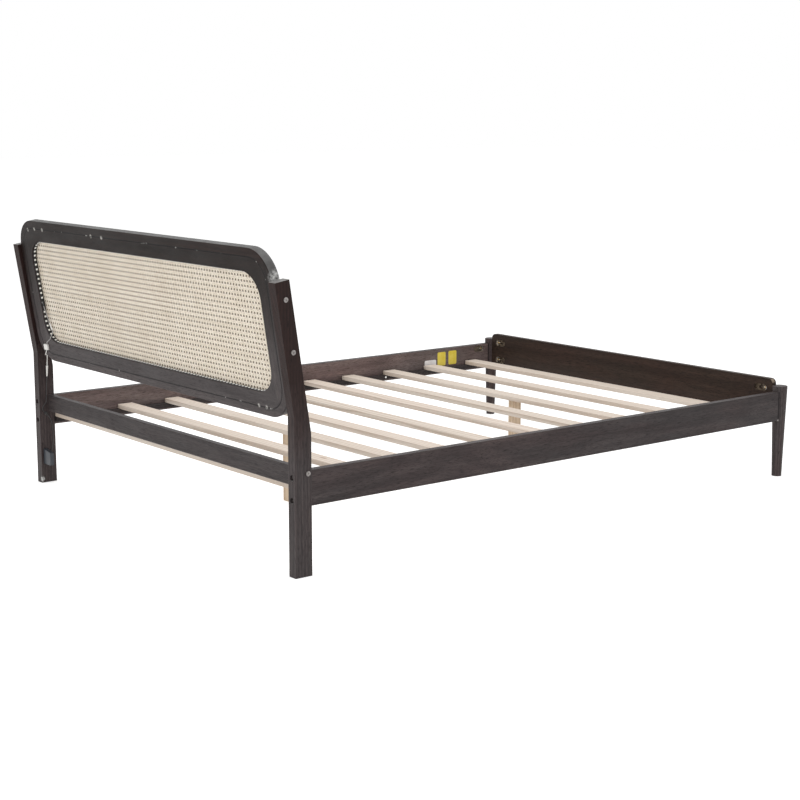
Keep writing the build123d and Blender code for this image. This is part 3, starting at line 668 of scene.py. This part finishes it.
def glued_seam(tree, colour):
    """Dark line round the retaining frame, with pale flecks of dried glue."""
    place = object_place(tree)
    moved = vector_maths(tree, "SUBTRACT", place, on_slope(0.0, board_middle, board_set))
    gap = seam_distance(tree, moved)
    deep = vector_maths(tree, "DOT_PRODUCT", moved, slope_forward)
    rear = maths(tree, "LESS_THAN", deep, seam_reach)
    line = span(tree, gap, seam_spread * 0.6, seam_spread, 0.9, 0.0)
    colour = blend(tree, maths(tree, "MULTIPLY", line, rear), colour, seam_dark)
    sparse = patches(tree, place, 24.0, 0.63, 0.68, detail=2.0, roughness=0.7)
    broken = patches(tree, place, 150.0, 0.45, 0.55, detail=2.0, roughness=0.5)
    close = span(tree, gap, seam_spread * 0.7, seam_spread * 1.1, 1.0, 0.0)
    fleck = maths(tree, "MULTIPLY", maths(tree, "MULTIPLY", sparse, broken), rear)
    fleck = maths(tree, "MULTIPLY", maths(tree, "MULTIPLY", fleck, close), 0.8)
    return blend(tree, fleck, colour, glue_fleck)


def bright_mark_and_highlight(centre, radius, bright):
    """Bright patch round one place: real marks such as glue, a scuff and a splinter, and a painted
    highlight on one corner.
    """
    def extra(tree, colour):
        place = object_place(tree)
        away = vector_maths(tree, "DISTANCE", place, centre)
        near = span(tree, away, radius * 0.35, radius, 1.0, 0.0)
        broken = patches(tree, place, 130.0, 0.35, 0.6)
        return blend(tree, maths(tree, "MULTIPLY", near, broken), colour, bright)
    return extra


# Light packages of the strip
chip_pitch = 16.67 * MM
chip_size = 6.0 * MM
chip_rise = 1.7 * MM
chip_rim = 0.5 * MM
strip_inset = 4.0 * MM
strip_width = 8.0 * MM
strip_thickness = 1.5 * MM
strip_break_height = 168.0 * MM
strip_break = 10.0 * MM
chip_base = strip_thickness * 0.9
chip_shoulder = 0.7
wall_margin = 1.0 * MM
lens_sides = 8
lens_rings = ((-0.05 * MM, 0.3), (0.12 * MM, 0.26))


def strip_line(distance):
    """Place and inward direction on the opening's wall, at a distance round it from its lower right."""
    half_x, half_up, radius = opening_half, opening_rise, opening_corner
    straight_up = 2 * (half_up - radius)
    straight_x = 2 * (half_x - radius)
    arc = radius * pi / 2
    legs = (("line", straight_up), ("arc", arc), ("line", straight_x), ("arc", arc)) * 2
    corner_x, corner_up, angle = half_x, -(half_up - radius), 0.0
    heading = pi / 2
    for kind, length in legs:
        reach = min(distance, length)
        if kind == "line":
            x = corner_x + cos(heading) * reach
            up = corner_up + sin(heading) * reach
            turned = heading
        else:
            centre_x = corner_x - sin(heading) * radius
            centre_up = corner_up + cos(heading) * radius
            turned = heading + reach / radius
            x = centre_x + sin(turned) * radius
            up = centre_up - cos(turned) * radius
        if distance <= length:
            break
        distance -= length
        corner_x, corner_up, heading = x, up, turned
    return x, up, turned


def make_chips(white, lens):
    """White packages along the strip, each a bevelled block with a yellow lens window."""
    vertices, faces = [], []
    glass, panes = [], []
    around = 4 * (opening_half + opening_rise) - 8 * opening_corner + 2 * pi * opening_corner
    count = int(around / chip_pitch)
    depth = board_set + strip_inset + strip_width / 2
    top = chip_base + chip_rise
    block = ((chip_base, chip_size / 2), (chip_base + chip_rise * chip_shoulder, chip_size / 2),
             (top, chip_size / 2 - chip_rim))
    for k in range(count):
        x, up, heading = strip_line((k + 0.5) * around / count)
        height = board_middle + up
        on_far_wall = x > opening_half - wall_margin
        if on_far_wall and abs(height - strip_break_height) < strip_break:
            continue
        inward = Vector((-sin(heading), cos(heading)))
        run = Vector((cos(heading), sin(heading)))
        middle = Vector((x, height))
        first = len(vertices)
        for lift, half in block:
            for a, b in ((-1, -1), (1, -1), (1, 1), (-1, 1)):
                spot = middle + inward * lift + run * (a * half)
                vertices.append(on_slope(spot.x, spot.y, depth + b * half))
        for ring in (0, 1):
            for side in range(4):
                after = (side + 1) % 4
                start = first + ring * 4
                faces.append((start + side, start + after, start + 4 + after, start + 4 + side))
        faces.append(tuple(first + 8 + side for side in range(4)))
        faces.append(tuple(first + 3 - side for side in range(4)))
        start = len(glass)
        for rise, scale in lens_rings:
            for spoke in range(lens_sides):
                angle = 2 * pi * spoke / lens_sides
                spot = middle + inward * (top + rise) + run * (cos(angle) * chip_size * scale)
                glass.append(on_slope(spot.x, spot.y, depth + sin(angle) * chip_size * scale))
        upper = start + lens_sides
        for spoke in range(lens_sides):
            after = (spoke + 1) % lens_sides
            panes.append((start + spoke, start + after, upper + after, upper + spoke))
        panes.append(tuple(upper + spoke for spoke in range(lens_sides)))
        panes.append(tuple(upper - 1 - spoke for spoke in range(lens_sides)))
    new_piece("light_chips", vertices, faces, white)
    new_piece("light_lenses", glass, panes, lens)


# Plain stickers on the inner face of one rail
sticker_rings = ((0.0, 0.0), (0.5 * MM, 0.0), (0.8 * MM, 0.6 * MM))
sticker_corner = 6.0 * MM
corner_steps = 6

# Two shades, lowest and highest roughness
yellow_paper = ((0.74, 0.56, 0.05), (0.8, 0.64, 0.1), 0.4, 0.55)
white_paper = ((0.72, 0.7, 0.7), (0.8, 0.78, 0.78), 0.45, 0.6)

# Middle along and up, then width and height
yellow_stickers = {
    "sticker_yellow_1": (-804.0 * MM, 268.0 * MM, 44.0 * MM, 58.0 * MM),
    "sticker_yellow_2": (-864.0 * MM, 269.0 * MM, 44.0 * MM, 58.0 * MM),
}
white_sticker = (-743.0 * MM, 253.0 * MM, 62.0 * MM, 30.0 * MM)


def make_sticker(name, y, z, width, height, material):
    """Thin sticker with eased edges, on the rail's inner face."""
    vertices, faces = [], []
    for rise, inset in sticker_rings:
        outline = rounded_outline(width / 2 - inset, height / 2 - inset, sticker_corner, corner_steps)
        vertices += [Vector((half_well - rise, y - across, z + up)) for across, up in outline]
    count = len(vertices) // len(sticker_rings)
    for ring in range(len(sticker_rings) - 1):
        for k in range(count):
            after = (k + 1) % count
            start = ring * count
            faces.append((start + k, start + after, start + count + after, start + count + k))
    faces.append(tuple(reversed(range(count))))
    faces.append(tuple(range(len(vertices) - count, len(vertices))))
    new_piece(name, vertices, faces, material)


def make_stickers():
    yellow = plastic("sticker_yellow", *yellow_paper)
    sheen_colour = plastic("sticker_white", *white_paper)
    for name, sizes in yellow_stickers.items():
        make_sticker(name, *sizes, yellow)
    make_sticker("sticker_white", *white_sticker, sheen_colour)


# Floor, world and lamps
floor_half = 30.0
floor_drop = 0.5 * MM
floor_glow = 0.5
floor_tones = ((0.3, (0.86, 0.86, 0.86)), (0.7, (0.9, 0.9, 0.9)))
pure_white = (1.0, 1.0, 1.0, 1.0)
room_light = 0.62

# Middle and aim of each lamp, its width and its power in watts
lamps = {
    "softbox_above": ((0.0, 0.0, 4.2), (0.0, 0.0, 0.0), 4.0, 90.0),
    "softbox_side": ((-4.6, 1.2, 2.4), (0.0, 0.2, 0.4), 2.5, 32.0),
    "softbox_head": ((-1.4, 4.8, 1.4), (0.0, 1.0, 0.6), 2.5, 55.0),
}


def camera_like(tree):
    """One for camera, glossy and transmission rays, so that metal shows the white background too."""
    path = add(tree, "ShaderNodeLightPath")
    seen = maths(tree, "MAXIMUM", path.outputs["Is Camera Ray"], path.outputs["Is Glossy Ray"])
    return maths(tree, "MAXIMUM", seen, path.outputs["Is Transmission Ray"])


def make_floor():
    material = new_material("studio_floor")
    tree = material.node_tree
    colour = ramp(tree, noise(tree, object_place(tree), 0.6), floor_tones)
    matt = add(tree, "ShaderNodeBsdfDiffuse", {"Color": colour}).outputs[0]
    glow = add(tree, "ShaderNodeEmission", {"Color": pure_white, "Strength": floor_glow}).outputs[0]
    both = add(tree, "ShaderNodeAddShader", {0: matt, 1: glow}).outputs[0]
    mix = add(tree, "ShaderNodeMixShader", {0: camera_like(tree), 1: matt, 2: both})
    add(tree, "ShaderNodeOutputMaterial", {"Surface": mix.outputs[0]})
    mesh = bpy.data.meshes.new("floor")
    h = floor_half
    mesh.from_pydata([(-h, -h, 0), (h, -h, 0), (h, h, 0), (-h, h, 0)], [], [(0, 1, 2, 3)])
    mesh.materials.append(material)
    floor = bpy.data.objects.new("floor", mesh)
    floor.location.z = -floor_drop
    bpy.context.scene.collection.objects.link(floor)


def make_world():
    world = bpy.data.worlds.new("studio")
    world.use_nodes = True
    tree = world.node_tree
    tree.nodes.clear()
    white = add(tree, "ShaderNodeBackground", {"Color": pure_white, "Strength": 1.0}).outputs[0]
    soft = add(tree, "ShaderNodeBackground", {"Color": pure_white, "Strength": room_light}).outputs[0]
    mix = add(tree, "ShaderNodeMixShader", {0: camera_like(tree), 1: soft, 2: white})
    add(tree, "ShaderNodeOutputWorld", {"Surface": mix.outputs[0]})
    bpy.context.scene.world = world


def area_lamp(name, place, target, size, power):
    data = bpy.data.lights.new(name, "AREA")
    data.shape = "SQUARE"
    data.size = size
    data.energy = power
    lamp = bpy.data.objects.new(name, data)
    aim = (Vector(target) - Vector(place)).to_track_quat("-Z", "Y")
    lamp.matrix_world = Matrix.Translation(place) @ aim.to_matrix().to_4x4()
    bpy.context.scene.collection.objects.link(lamp)


def make_lamps():
    for name, settings in lamps.items():
        area_lamp(name, *settings)


def dress(material, *names):
    """Put a material on every slot of the named pieces."""
    for name in names:
        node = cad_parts[name]
        if not node.data.materials:
            node.data.materials.append(material)
        for slot in node.material_slots:
            slot.material = material


# Single marks: a painted highlight on a corner, a scuffed post foot, spots of glue and a splintered
# joint
corner_highlight = (on_slope(-764.0 * MM, 396.0 * MM, 30.0 * MM), 26.0 * MM, (0.5, 0.5, 0.49))
post_scuff = (Vector((766.0 * MM, rear_y, 14.0 * MM)), 12.0 * MM, (0.75, 0.75, 0.73))
glue_radius = 8.0 * MM
glue_colour = (0.55, 0.53, 0.49)
splinter_side = 798.0 * MM
splinter_height = 207.0 * MM
splinter_radius = 7.0 * MM
splinter_colour = (0.5, 0.47, 0.44)
leg_gap = 3.0 * MM

# Glue spots across and up the headboard, in millimetres
glue_places = ((690, 443), (640, 449), (583, 449), (245, 449), (175, 449), (-607, 6), (-645, 6))

# Heights and tint of the change with height: painted shade on the headboard, posts darker and redder
# towards their tops, and the tint under the footboard
board_shade_heights = (0.56, 0.84, (0.2, 0.155, 0.13))
post_darkening_heights = (0.3, 0.56, (0.4, 0.25, 0.22))
foot_stain = (0.0, 0.1, (1.25, 0.97, 0.74))
rail_tint = (2.9, 2.7, 2.55)
leg_pine_tint = (0.9, 0.8, 0.66)

# Limits of the angle and colour of the painted sheen on the edges and ends
edge_sheen = (0.6, 0.3, (0.13, 0.13, 0.128))
end_sheen = (0.8, 0.95, (0.26, 0.255, 0.25))

# Two shades, lowest and highest roughness, and the pieces
metals = {
    "zinc": ((0.84, 0.83, 0.81), (0.62, 0.61, 0.59), 0.35, 0.5,
             ("leg_studs", "half_moon_washers", "ledge_screws", "centre_leg_screws")),
    "bronzed_steel": ((0.3, 0.28, 0.27), (0.07, 0.06, 0.056), 0.34, 0.5,
                      ("headboard_bolts", "head_rail_bolts", "side_rail_bolts")),
    "brass": ((0.72, 0.53, 0.28), (0.42, 0.28, 0.14), 0.28, 0.45,
              ("threaded_inserts", "pocket_nuts")),
}
plastics = {
    "black_plastic": ((0.012, 0.012, 0.013), (0.022, 0.021, 0.021), 0.4, 0.55,
                      ("light_strip", "lead_bead", "cable_clip")),
    "white_plastic": ((0.72, 0.7, 0.66), (0.78, 0.77, 0.74), 0.35, 0.5,
                      ("lead_sleeve", "lead_connector", "lead_plug", "post_lead")),
    "grey_plastic": ((0.3, 0.29, 0.28), (0.4, 0.39, 0.38), 0.4, 0.55,
                     ("lead_upper", "lead_lower")),
    "cable_sheath": ((0.03, 0.029, 0.029), (0.05, 0.048, 0.047), 0.4, 0.55,
                     ("control_cable",)),
    "slate_plastic": ((0.026, 0.031, 0.04), (0.036, 0.041, 0.05), 0.35, 0.48,
                      ("control_box",)),
}
chip_white = ((0.93, 0.93, 0.91), (0.96, 0.96, 0.95), 0.4, 0.5)
lens_yellow = ((0.9, 0.84, 0.6), (0.93, 0.88, 0.68), 0.25, 0.35)

# Darker and lighter shade of the cloth, and its threads to the metre
cloth_look = ((0.1, 0.075, 0.05), (0.18, 0.14, 0.1), 320.0)


def dress_wood():
    rail_low, rail_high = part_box("side_rail_right")
    board_low, board_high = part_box("footboard")
    rail_pockets = bare_pockets(
        (half_well + skin, rail_low[1] + skin, rail_low[2] + skin),
        (half_well + pocket_floor, rail_low[1] + pocket_length, rail_high[2] - pocket_cover))
    board_pockets = bare_pockets(
        (board_high[0] - pocket_length, board_high[1] - pocket_floor, board_low[2] + skin),
        (board_high[0] - skin, board_high[1] - skin, board_high[2] - pocket_cover))
    # Painted shade: the headboard's pieces darken towards its top.
    board_painted_shade = tint_by_height(*board_shade_heights)
    # Painted sheen on the headboard's faces that run along its edges.
    board_edge_sheen = painted_sheen_faces(slope_forward, *edge_sheen)
    post_darkening = tint_by_height(*post_darkening_heights)
    # Painted sheen on the posts' top ends.
    post_end_sheen = painted_sheen_faces(slope_up, *end_sheen)
    foot_depth = tint_by_height(*foot_stain)
    # Painted highlight on the headboard's top corner.
    painted_corner_highlight = bright_mark_and_highlight(*corner_highlight)
    scuff = bright_mark_and_highlight(*post_scuff)
    glue = [bright_mark_and_highlight(on_slope(x * MM, up * MM, board_set), glue_radius, glue_colour)
            for x, up in glue_places]
    splinter_place = (-splinter_side, rail_low[1], splinter_height)
    splinter = bright_mark_and_highlight(splinter_place, splinter_radius, splinter_colour)
    rail_inside = inner_face_tint(half_well + skin, rail_tint)
    # Painted shadow at the rails' ends, where they meet the legs.
    rail_end_shadow = painted_end_shadow(rail_low[1] + leg_gap)

    # Name, run of the grain, shift of the pattern, redness, shade, marks and pieces
    woods = (
        ("wood_upright", "upright", (0.0, 0.0, 0.0), 0.3, 1.35, (post_darkening, post_end_sheen, scuff),
         ("head_post_left", "head_post_right")),
        ("wood_leg", "upright", (0.3, 0.0, 0.1), 0.6, 1.5, (splinter,),
         ("foot_leg_left", "foot_leg_right")),
        ("wood_leaning", "leaning", (0.3, 0.1, 0.2), 0.1, 1.5,
         (board_painted_shade, board_edge_sheen, glued_seam, painted_corner_highlight, *glue),
         ("headboard_stile_left", "headboard_stile_right")),
        ("wood_top", "across", (0.1, 0.4, 0.0), 1.0, 1.7,
         (board_painted_shade, board_edge_sheen, glued_seam, *glue),
         ("headboard_top_rail",)),
        ("wood_across", "across", (0.4, 0.2, 0.1), 0.1, 1.5, (glued_seam, *glue),
         ("headboard_bottom_rail",)),
        ("wood_head", "across", (0.2, 0.6, 0.1), 0.15, 1.2, (),
         ("head_rail",)),
        ("wood_footboard", "across", (0.2, 0.5, 0.3), 0.8, 0.68, (foot_depth, board_pockets),
         ("footboard",)),
        ("wood_slip_across", "across", (0.7, 0.15, 0.3), 0.0, 1.5,
         (board_painted_shade, glued_seam, *glue),
         ("cane_retainer_top", "cane_retainer_bottom")),
        ("wood_slip_leaning", "leaning", (0.5, 0.25, 0.1), 0.0, 1.5,
         (board_painted_shade, glued_seam, *glue),
         ("cane_retainer_left", "cane_retainer_right")),
        ("wood_along", "along", (0.2, 0.3, 0.5), 0.35, 1.27,
         (rail_inside, rail_pockets, rail_end_shadow, splinter),
         ("side_rail_left", "side_rail_right")),
        ("wood_ledge", "along", (0.6, 0.1, 0.2), 0.4, 0.9, (),
         ("slat_ledge_left", "slat_ledge_right")),
    )
    for name, grain, shift, red, shade, marks, pieces in woods:
        dress(espresso_wood(name, grain, shift, red, shade, marks), *pieces)
    slats = [f"slat_{k:02d}" for k in range(1, 11)]
    dress(pine("pine_across", "across", (0.05, 0.0, 0.0), (1.0, 1.0, 1.0)), *slats)
    dress(pine("pine_upright", "upright", (0.4, 0.2, 0.0), leg_pine_tint),
          "centre_leg_head", "centre_leg_foot", "dowels")


def dress_all():
    dress_wood()
    for make, looks in ((metal, metals), (plastic, plastics)):
        for name, (*look, pieces) in looks.items():
            dress(make(name, *look), *pieces)
    make_chips(plastic("chip_white", *chip_white), plastic("chip_lens", *lens_yellow))
    make_stickers()
    make_cane(cane_material(), cloth_material("scrim_cloth", *cloth_look))


make_camera()
make_world()
make_lamps()
make_floor()
dress_all()

view = bpy.context.scene.view_settings
view.view_transform = "Standard"
